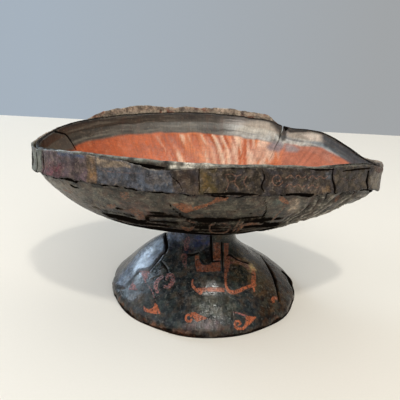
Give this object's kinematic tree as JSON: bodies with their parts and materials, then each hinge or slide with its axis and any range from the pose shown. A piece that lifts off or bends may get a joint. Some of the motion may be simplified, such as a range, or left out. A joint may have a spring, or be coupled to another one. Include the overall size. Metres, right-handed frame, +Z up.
{
  "type": "lacquered wooden stem cup",
  "caption": "Warped oval cup of lacquered wood on a flared hollow foot, with a strip bound round its rim, a cracked wall and painted scroll motifs.",
  "frame": {"origin": "on the surface under the foot, below the middle of the mouth", "axes": "+X along the mouth's long axis to its pointed end, +Y away from the banded front, +Z up"},
  "size_m": [0.1814, 0.1131, 0.0942],
  "materials": {
    "bowl_lacquer": "aged black lacquer outside, vermilion lacquer inside below a black rim zone, over a dried wood core",
    "band_lacquer": "worn black, purple-brown and ochre patches of lacquer on a thin strip",
    "foot_lacquer": "satin blue-black lacquer with vermilion scroll motifs, over a turned wood core"
  },
  "bodies": {
    "root": {"bowl": "bowl_lacquer", "rim_band": "band_lacquer", "stem_foot": "foot_lacquer"}
  },
  "joints": []
}
